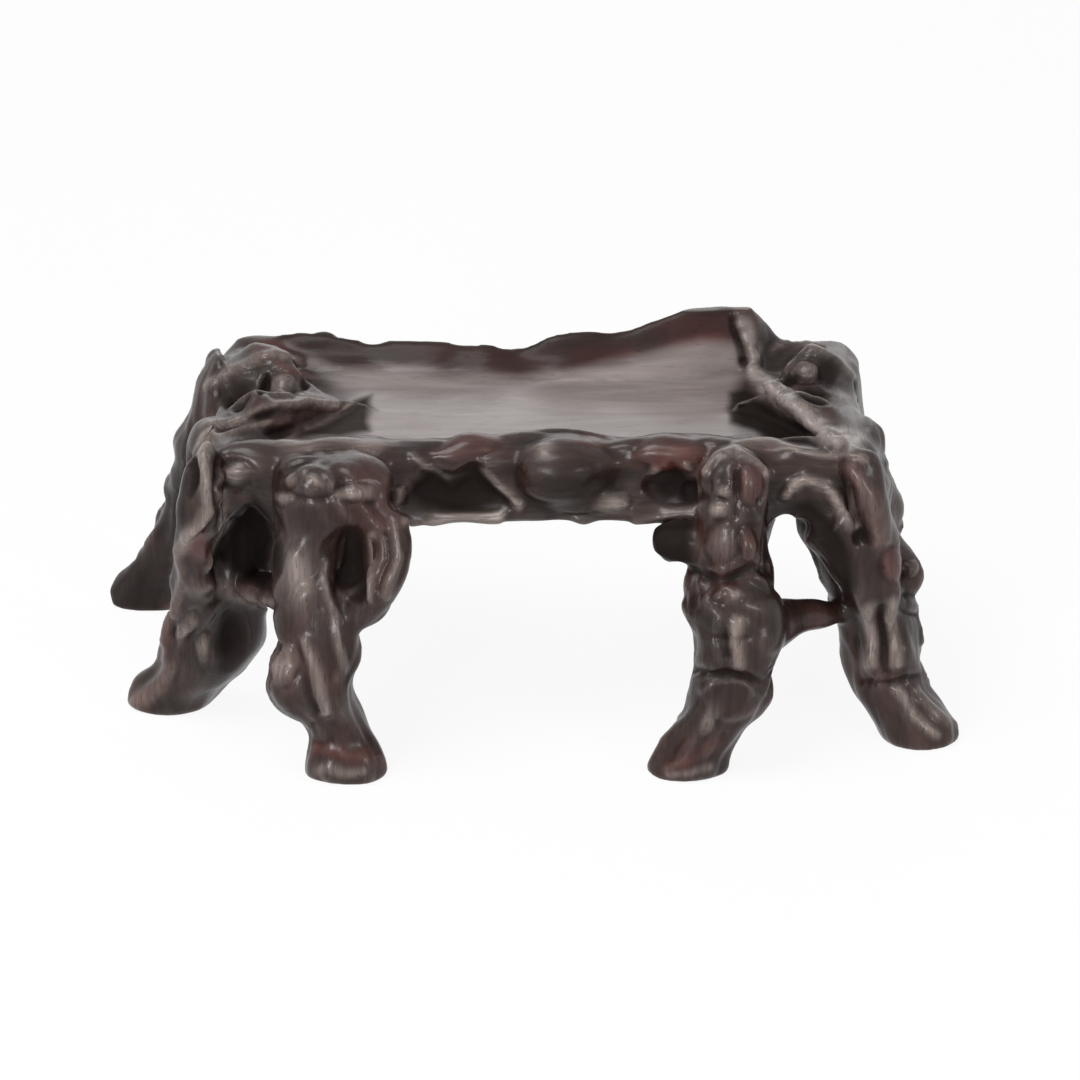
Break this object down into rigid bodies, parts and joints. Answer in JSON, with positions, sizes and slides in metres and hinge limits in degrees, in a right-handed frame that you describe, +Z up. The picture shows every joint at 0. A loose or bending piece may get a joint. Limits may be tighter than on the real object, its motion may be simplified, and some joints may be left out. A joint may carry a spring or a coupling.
{
  "type": "hardwood display stand",
  "caption": "Low display stand carved like gnarled roots: a sunk tray panel in a knotty bowed rim, carried on splayed root legs that are tied by thin bridging roots.",
  "frame": {"origin": "on the ground, under the middle of the stand's box", "axes": "+X along the long side, to the viewer's right; +Y to the back; +Z up"},
  "size_m": [0.1738, 0.0984, 0.0728],
  "materials": {
    "root_wood": "dark reddish-brown hardwood, carved and polished",
    "tray_wood": "dark hardwood, smooth and polished",
    "dowel_wood": "plain turned wood"
  },
  "bodies": {
    "root": {"tray_panel": "tray_wood", "front_rail": "root_wood", "right_rail": "root_wood", "back_rail": "root_wood", "left_rail": "root_wood", "front_left_inner_leg": "root_wood", "front_right_inner_leg": "root_wood", "back_left_inner_leg": "root_wood", "back_right_inner_leg": "root_wood", "front_left_outer_leg": "root_wood", "front_right_outer_leg": "root_wood", "back_left_outer_leg": "root_wood", "back_right_outer_leg": "root_wood", "leg_dowels": "dowel_wood", "corner_dowels": "dowel_wood"}
  },
  "joints": []
}
